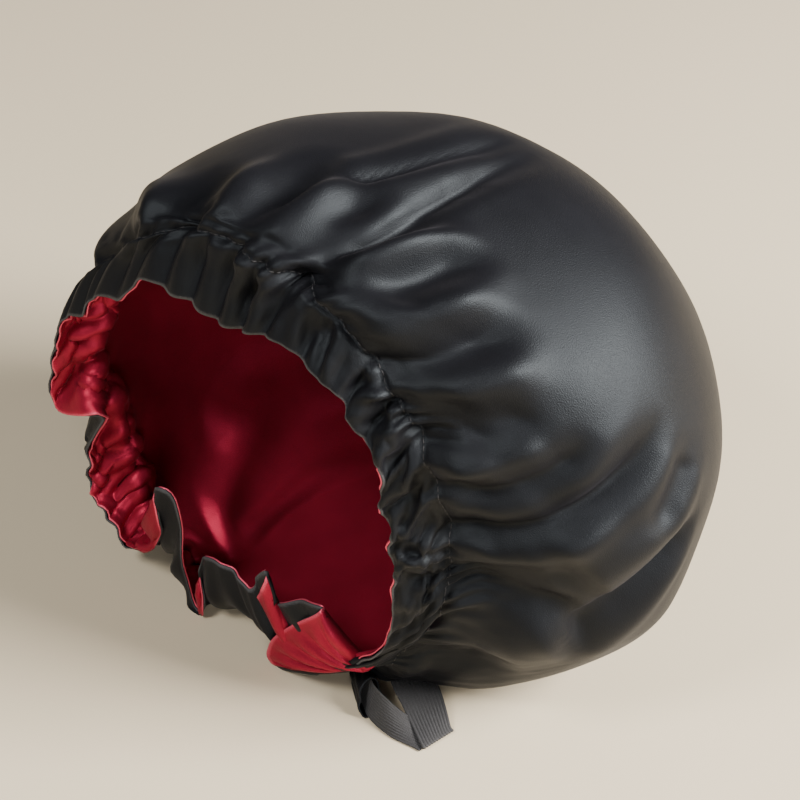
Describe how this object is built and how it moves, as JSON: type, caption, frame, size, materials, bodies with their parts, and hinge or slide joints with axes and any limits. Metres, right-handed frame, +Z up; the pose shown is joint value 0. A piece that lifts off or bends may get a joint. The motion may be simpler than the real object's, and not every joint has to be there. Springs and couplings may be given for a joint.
{
  "type": "sleep bonnet",
  "caption": "Big soft satin sleep bonnet, wine satin lining, gathered elastic casing round the mouth and a loop of flat elastic pulled out underneath.",
  "frame": {"origin": "middle of the underside of the box round the whole bonnet, on the surface it lies on", "axes": "+Z up from the surface, the mouth faces -Y, +X to the right as seen from the mouth's side"},
  "size_m": [0.2946, 0.2146, 0.2368],
  "materials": {
    "crown_satin": "soft black satin with a broad sheen",
    "lining_satin": "wine red satin with a broad sheen",
    "elastic_woven": "matte black woven elastic with lengthwise ribs"
  },
  "bodies": {
    "root": {"outer_crown": "crown_satin", "lining": "lining_satin", "elastic_loop": "elastic_woven"}
  },
  "joints": []
}
